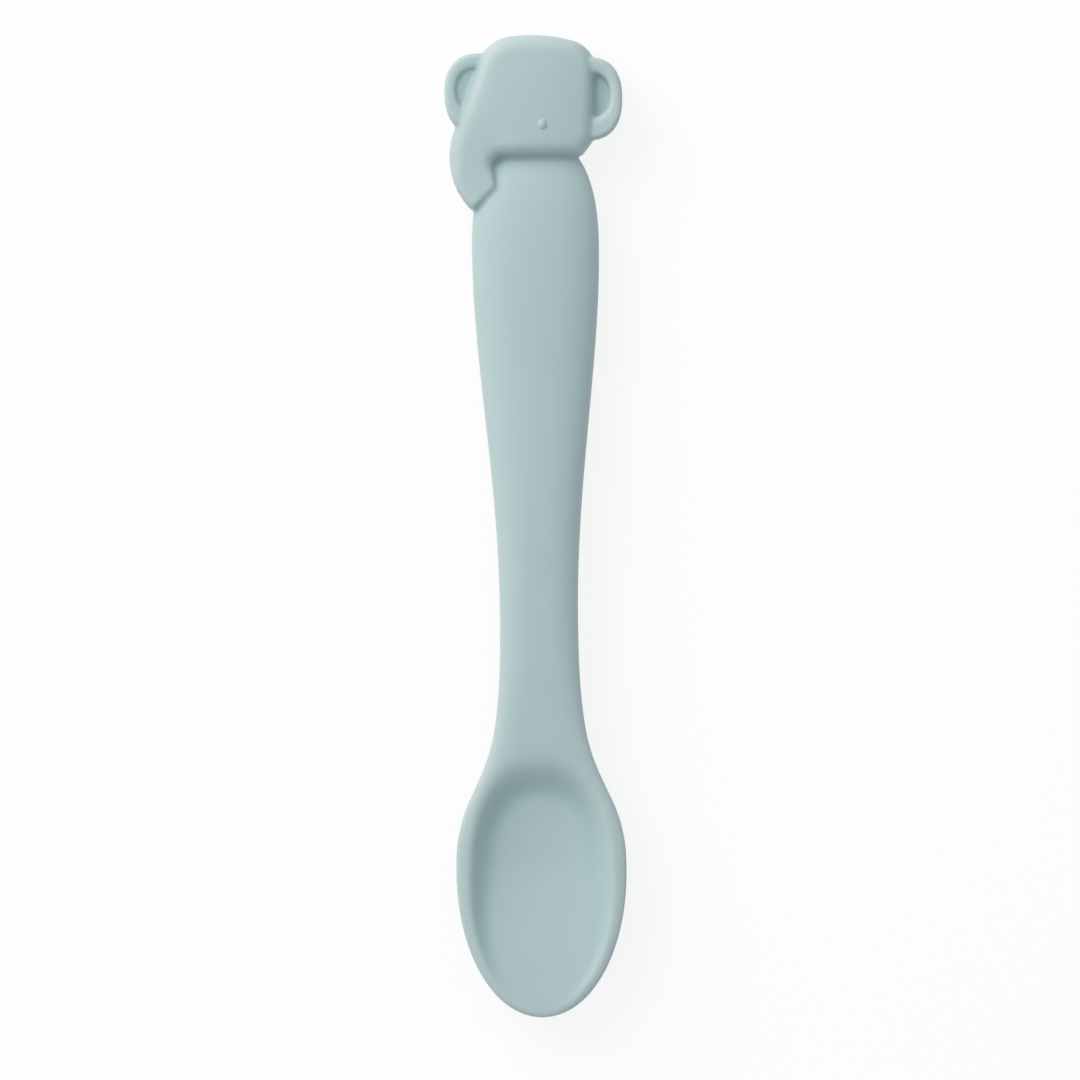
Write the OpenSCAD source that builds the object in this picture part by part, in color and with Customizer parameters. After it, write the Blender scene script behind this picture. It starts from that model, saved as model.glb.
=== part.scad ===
// Soft baby spoon with an elephant's head on the end of its handle.
// One silicone moulding covers a stiff core from the bowl's root to the head.
// The spoon lies on its back on a table: X is across, Y runs from the bowl's tip to the head,
// and Z is up, out of the bowl. The origin is under the middle of the spoon, at the table.
// All lengths are in millimetres.

/* [Overall] */
// Length from the bowl's tip to the top of the head
spoon_l = 146; // [135:1:170]
// Inset of the stiff core from the sides of the handle
core_cover = 3.2; // [2.9:0.1:3.6]

/* [Bowl] */
// Width of the bowl over its rim
bowl_w = 25.3; // [22:0.1:29]
// Length from the tip to the bowl's widest line
nose_l = 21.9; // [19:0.1:25]
// Length from the widest line back to the thinnest place of the neck
flank_l = 36.9; // [32:0.1:42]
// Height of the rim at the widest line
rim_h = 8; // [7.2:0.1:9]
// Height of the rim at the tip
nose_h = 7.4; // [6.8:0.1:8.2]
// Depth of the bowl's floor under the rim at the widest line
bowl_depth = 3; // [2.5:0.1:3.5]
// Rise of the floor's dish from its middle to the wall
dish_h = 1.1; // [0.8:0.1:1.4]
// Width of the rim at the sides
rim_w = 2; // [1.6:0.1:2.4]
// Width of the rim at the tip
tip_rim_w = 1; // [0.8:0.1:1.4]
// Height of the rim's top above the bowl's widest level
lip_h = 1.3; // [1:0.1:1.8]
// Length of the hollow's rear half, from its deepest line to the wall under the neck
hollow_rear_l = 17.7; // [16:0.1:19.5]
// Length of the hollow's front half
hollow_front_l = 18.3; // [16:0.1:20]

/* [Handle] */
// Width of the neck at its thinnest place
neck_w = 11.6; // [10.8:0.1:14]
// Thickness of the neck there
neck_t = 6; // [5.6:0.1:7.5]
// Height of the neck's underside over the table
neck_lift = 3.2; // [2.6:0.1:3.8]
// Width of the grip at its widest place
grip_w = 18.9; // [16:0.1:22]
// Thickness of the grip there
grip_t = 8.4; // [7.6:0.1:9.4]
// Height of the grip's underside over the table
grip_lift = 1; // [0.6:0.1:1.4]
// Length of the grip's rounded shoulder
shoulder_l = 17; // [14:0.1:20]
// Fall of the grip's top from there to the end of the shoulder
shoulder_drop = 0.9; // [0.5:0.1:1.3]
// Length of the shoulder that the head covers
head_lap = 3.1; // [2.6:0.1:4]

/* [Head] */
// Width of the head at the root of the trunk
head_w = 22; // [20:0.1:24]
// Height of the head from its chin to its top, along the spoon
head_l = 18; // [16:0.1:20]
// Thickness of the head
head_t = 9.8; // [9:0.1:11]
// Reach of the trunk below the chin
trunk_l = 8.3; // [7:0.1:9.5]
// Width of the trunk
trunk_w = 6.2; // [5.4:0.1:7]
// Radius of the head's rounded edges
head_edge_r = 1.6; // [1.2:0.1:2]
// Rounding of the front edges in the head's thickness
head_edge_h = 2; // [1.2:0.1:2.6]
// Rounding of the back edges in the head's thickness
back_edge_h = 1.4; // [1:0.1:2]
// Height of the front face's slight crown inside those edges
crown_h = 0.3; // [0.1:0.05:0.5]
// Width of the crown's slope
crown_w = 1.1; // [0.8:0.1:1.4]
// Width of the eye
eye_w = 1.3; // [1:0.1:2]
// Height that the eye stands out
eye_h = 0.35; // [0.2:0.05:0.6]

/* [Ears] */
// Width of an ear over its rim
ear_w = 10.2; // [9:0.1:11.4]
// Length of an ear along the spoon
ear_l = 12.2; // [11:0.1:13.4]
// Reach of the right ear beyond the side of the head
ear_reach = 4; // [3.4:0.1:4.8]
// Width of an ear's rim
ear_rim_w = 1.7; // [1.4:0.1:2]
// Height of the rim's top over the table
ear_h = 8; // [7.2:0.1:8.8]
// Depth of the ear's hollow under its rim
ear_depth = 0.9; // [0.6:0.1:1.3]
// Height of the ear's underside over the table
ear_lift = 2.2; // [1.6:0.1:2.8]
// Radius of the rim's rounded edges
ear_edge_r = 0.7; // [0.5:0.05:0.8]

/* [Core] */
// Thickness of the core's blade
core_t = 2; // [1.8:0.1:2.4]
// Radius of the core's round rear end, in the head
core_end_r = 3.4; // [2.6:0.1:4]
// Distance from the neck's thinnest place to the core's front end
core_nose_l = 16; // [12:0.1:18]
// Distance from the head's top to the core's rear end
core_top_gap = 6; // [5:0.1:8]
// Diameter of the holes that lock the silicone to the core
lock_d = 3; // [2.4:0.1:3.6]
// Number of those holes along the handle
lock_count = 5; // [3:1:7]

/* [Hidden] */
$fn = 32;
silicone_colour = "#a8bdc0";
nylon_colour = "#ece9df";

// Places along the spoon
tip_y = -spoon_l / 2;
wide_y = tip_y + nose_l;
neck_y = wide_y + flank_l;
chin_y = spoon_l / 2 - head_l;
shoulder_y = chin_y + head_lap;
grip_y = shoulder_y - shoulder_l;
deep_y = tip_y + tip_rim_w + hollow_front_l;
floor_z = rim_h - bowl_depth;

// The shoulder's top and underside close before its sides do, and the skin stops inside the head
shoulder_close_share = 0.92;
shoulder_stop_share = 0.91;
shoulder_power = 2.4;
// Power that sets how the handle swells from the neck to the grip
swell_power = 1.1;

// Widths of the bowl's flank from its widest line, 0, to the neck, 1
flank_shares = [
    [0, 1], [0.08, 0.986], [0.16, 0.918], [0.24, 0.79], [0.32, 0.6], [0.4, 0.406],
    [0.48, 0.253], [0.56, 0.15], [0.66, 0.077], [0.78, 0.026], [0.9, 0.006], [1, 0]
];

// Lines along the middle of the spoon: the top, the widest level and the underside
top_line = [
    [tip_y, nose_h], [wide_y, rim_h], [neck_y, neck_lift + neck_t], [grip_y, grip_lift + grip_t],
    [shoulder_y, grip_lift + grip_t - shoulder_drop]
];
side_line = [
    [tip_y, nose_h - lip_h], [wide_y, rim_h - lip_h],
    [neck_y, neck_lift + neck_t / 2], [grip_y, grip_lift + grip_t / 2]
];
under_line = [[tip_y, 0], [wide_y, 0], [neck_y, neck_lift], [grip_y, grip_lift]];

// Powers of the superellipses: a higher one gives a squarer shape
nose_power = 2.05;
belly_power = 2.2;
rim_end_power = 8;
groove_power = 3;
top_powers = [[tip_y, 5], [wide_y, 5], [neck_y, 2.6], [grip_y, 2.3]];
under_power = 2.3;

// Powers of the hollow's outline under the neck, and of its narrowing to the tip
hollow_power = 2.5;
narrowing_power = 2.1;
// Its front end keeps this share of its width, so that it isn't a sharp point
narrowed_least_share = 0.02;
// How far the hollow's wall leans outwards at the sides and under the neck: its rise over its run
side_lean = 1.2;
neck_lean = 0.85;
// The floor starts to climb to the tip this far behind the deepest line
climb_lead = 4;
climb_power = 1.4;
// Height over which the wall is rounded into the floor
floor_round_h = 1;
// Height over which the hollow's edge is rounded into the rim at the sides, the neck and the tip.
// The neck flows into the hollow, and the tip stays crisp.
side_round_h = 1;
neck_round_h = 3.4;
tip_round_h = 0.3;

// Counts of rings along the spoon, and of points round each ring
nose_rings = 12;
// Angle of the first ring, which leaves a flat too small to see at the tip
nose_start_angle = 2;
flank_rings = 32;
handle_rings = 13;
shoulder_rings = 9;
top_points = 22;
under_points = 12;

// Corners of the head's outline, clockwise from the middle of its top. Each is the place across as
// a share of head_w from the spoon's middle, the height above the chin as a share of head_l, and
// the radius as a share of head_l.
head_corner_shares = [[0.014, 1.008, 0.8], [0.43, 0.922, 0.255], [0.411, -0.003, 0.222]];
brow_corner_shares = [[-0.314, 0.984, 0.32]];
// Corners of the trunk from the chin round its end. The place across is a share of trunk_w from the
// trunk's outer side, and the height above the chin a share of trunk_l.
trunk_corner_shares = [
    [1.045, -0.01, 0.06], [1.08, -0.17, 0.04], [1.255, -0.555, 0.045], [0.545, -1.045, 0.03],
    [-0.26, -0.24, 0.73]
];
// Outer side of the trunk, as a share of head_w
trunk_side_share = 0.572;
corner_steps = 5;
edge_steps = 4;

// Centres of the ears along the spoon, as shares of head_l above the chin
right_ear_share = 0.475;
left_ear_share = 0.515;
// Side of the head at the right ear and at the left ear, as shares of head_w
right_side_share = 0.418;
left_side_share = 0.427;
ear_power = 2.4;
// The rim is wider at the ear's two ends than at its side
ear_end_rim_share = 1.5;
// Where the rim's inner wall meets the floor, against the rim's width
ear_floor_share = 1.25;
ear_points = 36;

// Place of the eye, as shares of head_w across and of head_l above the chin
eye_x_share = 0.055;
eye_y_share = 0.265;
// Length of the eye against its width
eye_length_share = 1.25;
eye_facets = 24;

// The ears don't reach equally far, so the spoon is shifted to centre its whole width
middle_x = head_w * (left_side_share - right_side_share) / 2;

// Height of the flat blade's middle, halfway up the neck and the grip
core_z = (neck_lift + neck_t / 2 + grip_lift + grip_t / 2) / 2;
// Where the row of holes starts and ends, as shares of the handle and of the shoulder
lock_front_share = 0.35;
lock_rear_share = 0.45;
core_front_y = neck_y - core_nose_l;
core_rear_y = spoon_l / 2 - core_top_gap;
core_rings = 18;
// The first and last holes keep to the wide part of the blade
lock_front_y = neck_y + (grip_y - neck_y) * lock_front_share;
lock_rear_y = shoulder_y - shoulder_l * lock_rear_share;

function mix(a, b, t) = a + (b - a) * t;
function smooth(t) = t * t * (3 - 2 * t);
function lens(t, power) = pow(max(0, 1 - pow(abs(t), power)), 1 / power);
function soft_min(a, b, k) = min(a, b) - pow(max(k - abs(a - b), 0), 2) / (4 * k);

// A smooth curve through a table of [place, value] that never overshoots its values
function rise(t, i) = (t[i + 1][1] - t[i][1]) / (t[i + 1][0] - t[i][0]);
function slope(t, i) =
    i == 0 || i == len(t) - 1 || rise(t, i - 1) * rise(t, i) <= 0 ? 0
    : 2 * rise(t, i - 1) * rise(t, i) / (rise(t, i - 1) + rise(t, i));
function curve(t, x, i = 0) =
    i < len(t) - 2 && x > t[i + 1][0] ? curve(t, x, i + 1)
    : let (
        l = t[i + 1][0] - t[i][0],
        s = min(1, max(0, (x - t[i][0]) / l))
    )
    mix(t[i][1], t[i + 1][1], smooth(s))
        + l * s * (1 - s) * (slope(t, i) * (1 - s) - slope(t, i + 1) * s);

// How far a place lies into the nose and into the shoulder, from 0 where each starts to 1 at its end
function nose_share(y) = min(1, max(0, (wide_y - y) / nose_l));
function shoulder_share(y) = min(1, max(0, (y - grip_y) / shoulder_l));

// Half the spoon's width at a place along it
function half_width(y) =
    y < wide_y ? bowl_w / 2 * lens(nose_share(y), nose_power)
    : y < neck_y ? mix(neck_w, bowl_w, curve(flank_shares, (y - wide_y) / flank_l)) / 2
    : y < grip_y ? mix(neck_w, grip_w, smooth(pow((y - neck_y) / (grip_y - neck_y), swell_power))) / 2
    : grip_w / 2 * lens(shoulder_share(y), shoulder_power);

// How far a place lies into the hollow's two halves, from 0 at its deepest line to 1 at its ends.
// The rear share keeps growing up the neck.
function rear_share(y) = max(0, (y - deep_y) / hollow_rear_l);
function front_share(y) = min(1, max(0, (deep_y - y) / hollow_front_l));
function hollow_half(y) =
    (bowl_w / 2 - rim_w) * max(narrowed_least_share, lens(front_share(y), narrowing_power));

// Shares of a place aside and to the rear, raised to the outline's power. They add up to 1 at the
// hollow's edge.
function aside(x, y) = pow(abs(x) / hollow_half(y), hollow_power);
function rearward(y) = pow(rear_share(y), hollow_power);
function rear_part(x, y) = rearward(y) == 0 ? 0 : rearward(y) / (aside(x, y) + rearward(y));

// Height of the hollow's surface: a dished floor that climbs to the tip, and a wall that leans
// outwards from the edge and keeps rising outside it
function climb(y) =
    pow(min(1, max(0, (deep_y + climb_lead - y) / (hollow_front_l + climb_lead))), climb_power);
function dish_z(x, y) =
    mix(floor_z, curve(top_line, y), climb(y)) + dish_h * (1 - climb(y)) * (aside(x, y) + rearward(y));
function wall_z(x, y) =
    let (
        outside = pow(aside(x, y) + rearward(y), 1 / hollow_power) - 1,
        spread = mix(hollow_half(y), hollow_rear_l, rear_part(x, y))
    )
    curve(top_line, y) + outside * spread * mix(side_lean, neck_lean, rear_part(x, y));
function hollow_z(x, y) = -soft_min(-wall_z(x, y), -dish_z(x, y), floor_round_h);
function edge_round_h(x, y) =
    mix(mix(side_round_h, neck_round_h, rear_part(x, y)), tip_round_h, front_share(y));

// Heights of the skin's top and underside
function end_lens(y, tip_end_power, head_end_power) =
    lens(nose_share(y), tip_end_power)
        * lens(shoulder_share(y) / shoulder_close_share, head_end_power);
function top_z(x, y, u) =
    let (
        crown = (curve(top_line, y) - curve(side_line, y)) * end_lens(y, rim_end_power, groove_power),
        z = curve(side_line, y) + crown * lens(u, curve(top_powers, y))
    )
    y < neck_y ? soft_min(z, hollow_z(x, y), edge_round_h(x, y)) : z;
function under_z(y, u) =
    curve(side_line, y)
        - (curve(side_line, y) - curve(under_line, y))
            * end_lens(y, belly_power, groove_power) * lens(u, under_power);

// Points round the skin at one place along it: over the top from the left, then back underneath
function ring(y) =
    let (w = half_width(y))
    concat(
        [for (i = [0 : top_points - 1]) let (u = -cos(180 * i / top_points))
            [w * u, y, top_z(w * u, y, u)]],
        [for (i = [0 : under_points - 1]) let (u = cos(180 * i / under_points))
            [w * u, y, under_z(y, u)]]
    );

ring_ys = concat(
    [for (i = [0 : nose_rings]) tip_y + nose_l * (1 - cos(mix(nose_start_angle, 90, i / nose_rings)))],
    [for (i = [1 : flank_rings]) wide_y + flank_l * i / flank_rings],
    [for (i = [1 : handle_rings]) mix(neck_y, grip_y, i / handle_rings)],
    [for (i = [1 : shoulder_rings])
        grip_y + shoulder_l * shoulder_stop_share * sin(90 * i / shoulder_rings)]
);

// A closed skin through rings of equally many points, with a flat face at each end.
// Each ring runs clockwise as seen from the first one.
module loft(rings) {
    n = len(rings[0]);
    last = len(rings) - 1;
    sides = [
        for (i = [0 : last - 1], j = [0 : n - 1])
            let (a = i * n + j, b = i * n + (j + 1) % n)
            each [[a, b + n, b], [a, a + n, b + n]]
    ];
    first_face = [for (j = [0 : n - 1]) j];
    last_face = [for (j = [0 : n - 1]) last * n + n - 1 - j];
    polyhedron([for (r = rings) each r], concat([first_face], sides, [last_face]), convexity = 6);
}

// Bowl, neck and grip
module spoon_skin() {
    loft([for (y = ring_ys) ring(y)]);
}

// The corners of an outline moved inwards by a distance, each [x, y, radius], clockwise.
// A corner that bends the other way keeps its arc parallel with a larger radius.
min_corner_r = 0.05;
function unit(v) = v / norm(v);
function flat(c) = [c.x, c.y];
function inward(v) = [v.y, -v.x];
function cross_z(a, b) = a.x * b.y - a.y * b.x;
function inset_corner(before, corner, after, d) =
    let (
        into = unit(flat(corner) - flat(before)),
        out = unit(flat(after) - flat(corner)),
        bisector = (inward(into) + inward(out)) / (1 + into * out),
        moved = flat(corner) + d * bisector,
        r = cross_z(into, out) < 0 ? corner.z - d : corner.z + d
    )
    [moved.x, moved.y, max(min_corner_r, r)];
function inset(corners, d) =
    let (n = len(corners))
    [for (i = [0 : n - 1]) inset_corner(corners[(i + n - 1) % n], corners[i], corners[(i + 1) % n], d)];

// An outline with an arc at each corner
function arc_at(before, corner, after) =
    let (
        into = unit(flat(corner) - flat(before)),
        out = unit(flat(after) - flat(corner)),
        turn = atan2(cross_z(into, out), into * out),
        start = flat(corner) - into * corner.z * tan(abs(turn) / 2),
        side = -sign(turn) * inward(into)
    )
    [for (i = [0 : corner_steps]) let (a = turn * i / corner_steps)
        start + corner.z * (side - [side.x * cos(a) - side.y * sin(a), side.x * sin(a) + side.y * cos(a)])];
function rounded(corners) =
    let (n = len(corners))
    [for (i = [0 : n - 1]) each arc_at(corners[(i + n - 1) % n], corners[i], corners[(i + 1) % n])];

function place_corners(shares, side, across, along) =
    [for (c = shares) [side + c.x * across, chin_y + c.y * along, c.z * head_l]];
head_corners = concat(
    place_corners(head_corner_shares, 0, head_w, head_l),
    place_corners(trunk_corner_shares, -trunk_side_share * head_w, trunk_w, trunk_l),
    place_corners(brow_corner_shares, 0, head_w, head_l)
);

// Steps of a rounded edge, each [inset, height]: up from a flat back, or over to a flat front
function back_edge(r, h, z) =
    [for (i = [0 : edge_steps]) let (a = 90 * i / edge_steps) [r * (1 - sin(a)), z + h * (1 - cos(a))]];
function front_edge(r, h, z, bend = 90) =
    [for (i = [0 : edge_steps]) let (a = bend * i / edge_steps) [r * (1 - cos(a)), z - h * (1 - sin(a))]];

// An outline that runs clockwise from above, as a ring of a skin that rises from the table
function raised(outline, z) = [for (i = [len(outline) - 1 : -1 : 0]) [outline[i].x, outline[i].y, z]];

// Head and trunk in one rounded slab with a flat back
module head_block() {
    steps = concat(
        back_edge(head_edge_r, back_edge_h, 0),
        front_edge(head_edge_r, head_edge_h, head_t - crown_h),
        [[head_edge_r + crown_w, head_t]]
    );
    loft([for (s = steps) raised(rounded(inset(head_corners, s[0])), s[1])]);
}

// An oval with squarer sides, clockwise, made smaller all round by a distance
function oval(half_x, half_y, power, d) =
    [for (i = [0 : ear_points - 1]) let (a = -360 * i / ear_points)
        [(half_x - d) * sign(cos(a)) * pow(abs(cos(a)), 2 / power),
         (half_y - d * ear_end_rim_share) * sign(sin(a)) * pow(abs(sin(a)), 2 / power)]];

// One ear: its sides, over the round rim and down to the floor inside it
module ear() {
    steps = concat(
        back_edge(ear_edge_r, ear_edge_r, ear_lift),
        front_edge(ear_rim_w / 2, ear_rim_w / 2, ear_h, 180),
        [[ear_rim_w * ear_floor_share, ear_h - ear_depth]]
    );
    loft([for (s = steps) raised(oval(ear_w / 2, ear_l / 2, ear_power, s[0]), s[1])]);
}

module ears() {
    translate([head_w * right_side_share + ear_reach - ear_w / 2, chin_y + head_l * right_ear_share, 0])
        ear();
    translate([-head_w * left_side_share - ear_reach + ear_w / 2, chin_y + head_l * left_ear_share, 0])
        ear();
}

// The eye is a low cap, a little longer than wide
module eye() {
    cap_r = (pow(eye_w / 2, 2) + pow(eye_h, 2)) / (2 * eye_h);
    stretch = eye_w * (eye_length_share - 1);
    translate([head_w * eye_x_share, chin_y + head_l * eye_y_share, head_t + eye_h - cap_r])
        hull()
            for (s = [-1, 1])
                translate([0, s * stretch / 2, 0])
                    sphere(cap_r, $fn = eye_facets);
}

// Half the core's width: the handle's own width less its cover, closed by a round end at the front
function core_half(y) = half_width(y) - core_cover;

// The core is one flat blade that follows the handle, with holes for the silicone to lock through
module core_shape() {
    ys = [for (i = [0 : core_rings]) mix(core_front_y, grip_y, i / core_rings)];
    side = [for (y = ys) [core_half(y), y]];
    translate([0, 0, core_z - core_t / 2])
        linear_extrude(core_t)
            difference() {
                union() {
                    polygon(concat(
                        side,
                        [[core_end_r, core_rear_y - core_end_r], [-core_end_r, core_rear_y - core_end_r]],
                        [for (i = [core_rings : -1 : 0]) [-side[i].x, side[i].y]]
                    ));
                    translate([0, core_rear_y - core_end_r])
                        circle(core_end_r);
                    translate([0, core_front_y])
                        circle(core_half(core_front_y));
                }
                for (i = [1 : lock_count])
                    translate([0, mix(lock_front_y, lock_rear_y, (i - 0.5) / lock_count)])
                        circle(d = lock_d);
            }
}

// The resize takes up the hair that the tip's small flat and the arch of the head leave
module silicone_body() {
    color(silicone_colour)
        translate([middle_x, 0, 0])
            difference() {
                resize([0, spoon_l, 0])
                    union() {
                        spoon_skin();
                        head_block();
                        ears();
                        eye();
                    }
                core_shape();
            }
}

module stiffener_core() {
    color(nylon_colour)
        translate([middle_x, 0, 0])
            core_shape();
}

silicone_body();
stiffener_core();
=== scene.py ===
# %% [markdown]
# # A soft baby spoon with an elephant's head
#
# The real spoon is one silicone moulding over a stiff blade. The blade comes ready from the packed
# model and stays as it is, hidden inside. The silicone is made again here, with softer joins and
# rounder faces than a construction program gives, and with the finish of moulded silicone.
#
# The spoon lies on its back: X is across, Y runs from the bowl's tip to the head, and Z is up, out
# of the bowl. Blender works in metres, so the sizes are written in millimetres times MM.

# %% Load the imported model
import math

import bmesh
import bpy
import numpy as np
from mathutils import Matrix, Vector
from mathutils.geometry import delaunay_2d_cdt


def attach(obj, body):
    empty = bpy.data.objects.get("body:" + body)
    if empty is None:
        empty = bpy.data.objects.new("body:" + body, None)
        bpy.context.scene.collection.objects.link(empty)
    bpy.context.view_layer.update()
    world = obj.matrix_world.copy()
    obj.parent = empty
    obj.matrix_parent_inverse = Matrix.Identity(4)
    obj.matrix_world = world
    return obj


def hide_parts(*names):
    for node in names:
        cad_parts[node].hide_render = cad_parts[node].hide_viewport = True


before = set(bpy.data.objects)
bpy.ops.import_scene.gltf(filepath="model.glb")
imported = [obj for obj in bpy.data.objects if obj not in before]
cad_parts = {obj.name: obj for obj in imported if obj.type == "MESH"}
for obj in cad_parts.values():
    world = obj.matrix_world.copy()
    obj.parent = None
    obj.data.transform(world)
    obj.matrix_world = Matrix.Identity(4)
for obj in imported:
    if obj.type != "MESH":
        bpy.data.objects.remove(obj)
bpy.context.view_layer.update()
MM = 0.001

# %% [markdown]
# ## Two helpers for nodes
#
# Geometry and materials are both made with nodes here. One function adds a node of any kind, sets
# it up, and links or fills its inputs, so that a rule can be read from the top down. A second one
# runs a tree of geometry nodes on an object and keeps the result as a plain mesh, which is all that
# another program can read.


# %% Add a node
def add(tree, kind, inputs=(), **settings):
    """Add a node. Inputs go by their order, or by name where a dictionary is given."""
    new = tree.nodes.new(kind)
    for setting, value in settings.items():
        setattr(new, setting, value)
    sockets = [socket for socket in new.inputs if socket.enabled]
    if isinstance(inputs, dict):
        names = [socket.name for socket in sockets]
        pairs = [(sockets[names.index(name)], value) for name, value in inputs.items()]
    else:
        pairs = zip(sockets, inputs)
    for socket, value in pairs:
        if isinstance(value, bpy.types.Node):
            value = next(output for output in value.outputs if output.enabled)
        if isinstance(value, bpy.types.NodeSocket):
            tree.links.new(value, socket)
        else:
            socket.default_value = value
    return new


# %% Run a tree of geometry nodes
def start_tree(name, sizes):
    """A new tree with one named input for each size, and its group input node."""
    tree = bpy.data.node_groups.new(name, "GeometryNodeTree")
    tree.interface.new_socket("Geometry", in_out="INPUT", socket_type="NodeSocketGeometry")
    tree.interface.new_socket("Geometry", in_out="OUTPUT", socket_type="NodeSocketGeometry")
    for label, value in sizes.items():
        kind = "NodeSocketInt" if isinstance(value, int) else "NodeSocketFloat"
        tree.interface.new_socket(label, in_out="INPUT", socket_type=kind)
    return tree, tree.nodes.new("NodeGroupInput").outputs


def end_tree(tree, geometry, finish):
    """Close the tree with real geometry and its finish."""
    real = add(tree, "GeometryNodeRealizeInstances", [geometry])
    dressed = add(tree, "GeometryNodeSetMaterial", {"Geometry": real, "Material": finish})
    add(tree, "NodeGroupOutput", [dressed])


def run_tree(tree, thing, sizes):
    """Set the tree's inputs on an object, and turn what it makes into the object's own mesh."""
    modifier = thing.modifiers.new(tree.name, "NODES")
    modifier.node_group = tree
    for item in tree.interface.items_tree:
        if item.in_out == "INPUT" and item.name in sizes:
            modifier[item.identifier] = sizes[item.name]
    graph = bpy.context.evaluated_depsgraph_get()
    made = bpy.data.meshes.new_from_object(thing.evaluated_get(graph), depsgraph=graph)
    thing.modifiers.remove(modifier)
    thing.data = made
    return thing


def new_object(name, mesh=None):
    """An object at the origin, in the scene."""
    thing = bpy.data.objects.new(name, mesh or bpy.data.meshes.new(name))
    bpy.context.scene.collection.objects.link(thing)
    return thing


# %% [markdown]
# ## The silicone
#
# Feeding spoons are compression moulded from platinum-cured silicone rubber, a soft, slightly
# milky rubber with a pigment mixed in. The steel mould is blasted, so the rubber comes out matte:
# a broad, weak highlight and no mirror image. Light goes a millimetre or so into it, which softens
# the shade in the grooves. Light and shade are also painted into the colour: the standing edges get
# a paler, greyer painted sheen, and the grooves a darker painted shade. An attribute of the mesh
# says which is which.


# %% Turn a written colour into the linear light that shaders use, and start a material
def linear(colour):
    """A hex sRGB colour as linear red, green, blue and full cover."""
    parts = [int(colour[i:i + 2], 16) / 255 for i in (1, 3, 5)]
    return [p / 12.92 if p <= 0.04045 else ((p + 0.055) / 1.055) ** 2.4 for p in parts] + [1]


def new_material(name):
    """A material with nodes, its tree and its shader."""
    made = bpy.data.materials.new(name)
    made.use_nodes = True
    return made, made.node_tree, made.node_tree.nodes["Principled BSDF"]


print("middle grey in linear light:", round(linear("#808080")[0], 3))

# %% Moulded silicone
SILICONE_COLOUR = "#a5bcbf"
SILICONE_PALE = "#aac0c2"
# painted sheen: standing edges are coloured paler and greyer, as if light caught them
SILICONE_PAINTED_SHEEN = "#adc0c0"
# painted shade: grooves and creases are coloured darker, where shade falls
SILICONE_PAINTED_SHADE = "#9fb8bb"
PAINTED_LIGHT_START = 0.2  # nearly even faces keep the plain colour
GRAIN_SIZE = 0.3 * MM  # blasted grit is finer, this is as fine as the picture can show
GRAIN_DEPTH, GRAIN_STRENGTH = 0.02 * MM, 0.1
CLOUD_SIZE = 12 * MM

silicone, tree, shader = new_material("matte moulded silicone")
where = add(tree, "ShaderNodeTexCoord").outputs["Object"]
clouds = add(tree, "ShaderNodeTexNoise", {"Vector": where, "Scale": 1 / CLOUD_SIZE, "Detail": 2})
tint = add(tree, "ShaderNodeMix", [clouds, linear(SILICONE_COLOUR), linear(SILICONE_PALE)],
           data_type="RGBA")
rubbed = add(tree, "ShaderNodeAttribute", attribute_name="rubbed").outputs["Fac"]
# edges are mixed towards the painted sheen colour, grooves towards the painted shade colour
for limit, colour in ((1.0, SILICONE_PAINTED_SHEEN), (-1.0, SILICONE_PAINTED_SHADE)):
    strength = add(tree, "ShaderNodeMapRange", [rubbed, PAINTED_LIGHT_START * limit, limit, 0.0, 1.0])
    tint = add(tree, "ShaderNodeMix", [strength, tint.outputs[2], linear(colour)], data_type="RGBA")
tree.links.new(tint.outputs[2], shader.inputs["Base Color"])
grain = add(tree, "ShaderNodeTexNoise", {"Vector": where, "Scale": 1 / GRAIN_SIZE, "Detail": 3})
bump = add(tree, "ShaderNodeBump", {"Strength": GRAIN_STRENGTH, "Distance": GRAIN_DEPTH, "Height": grain})
tree.links.new(bump.outputs[0], shader.inputs["Normal"])
shader.inputs["Roughness"].default_value = 0.56
shader.inputs["IOR"].default_value = 1.41
shader.inputs["Subsurface Weight"].default_value = 0.2
shader.inputs["Subsurface Radius"].default_value = (1.0, 1.2, 1.3)
shader.inputs["Subsurface Scale"].default_value = 1 * MM
print("made", silicone.name)

# %% [markdown]
# ## Bowl, neck and grip: one skin that follows a rule
#
# From the tip of the bowl to the shoulder under the head, every slice across the spoon is the same
# kind of curve: a superellipse, which is an ellipse with squarer sides. Only its width, its heights
# and its squareness change along the spoon. That is a rule, so geometry nodes make it: a flat grid
# has one direction for the place along the spoon and one for the angle round it, and Set Position
# bends it into the skin. The sizes are named inputs of the tree. Four drawn lines give what no
# single size can: the flank of the bowl, and three heights along the spoon.

# %% Sizes of the bowl, neck and grip
skin_sizes = {
    "Tip Y": -72.96 * MM, "Skin Length": 130.1 * MM,
    "Nose Length": 21.9 * MM, "Flank Length": 36.9 * MM,
    "Grip Y": 41.1 * MM, "Shoulder Length": 17 * MM,
    "Bowl Width": 25.3 * MM, "Neck Width": 11.6 * MM, "Grip Width": 18.9 * MM,
    "Rim Width": 2 * MM, "Tip Rim Width": 1 * MM, "Floor Height": 5 * MM,
    "Rear Hollow Length": 17.7 * MM, "Front Hollow Length": 18.3 * MM,
    "Middle X": 0.099 * MM, "Rings": 421, "Points Round": 241,
}
skin_tree, size = start_tree("Spoon skin", skin_sizes)
print("sizes of the skin:", len(skin_sizes))

# %% A grid with a share along and a share round
grid = add(skin_tree, "GeometryNodeMeshGrid", {
    "Size X": 1.0, "Size Y": 1.0,
    "Vertices X": size["Points Round"], "Vertices Y": size["Rings"],
})
place = add(skin_tree, "ShaderNodeSeparateXYZ", [add(skin_tree, "GeometryNodeInputPosition")]).outputs
share_round = add(skin_tree, "ShaderNodeMath", [place["X"], 0.5], operation="ADD")
share_along = add(skin_tree, "ShaderNodeMath", [place["Y"], 0.5], operation="ADD")
print("grid:", skin_sizes["Rings"], "rings of", skin_sizes["Points Round"], "points")

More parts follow.
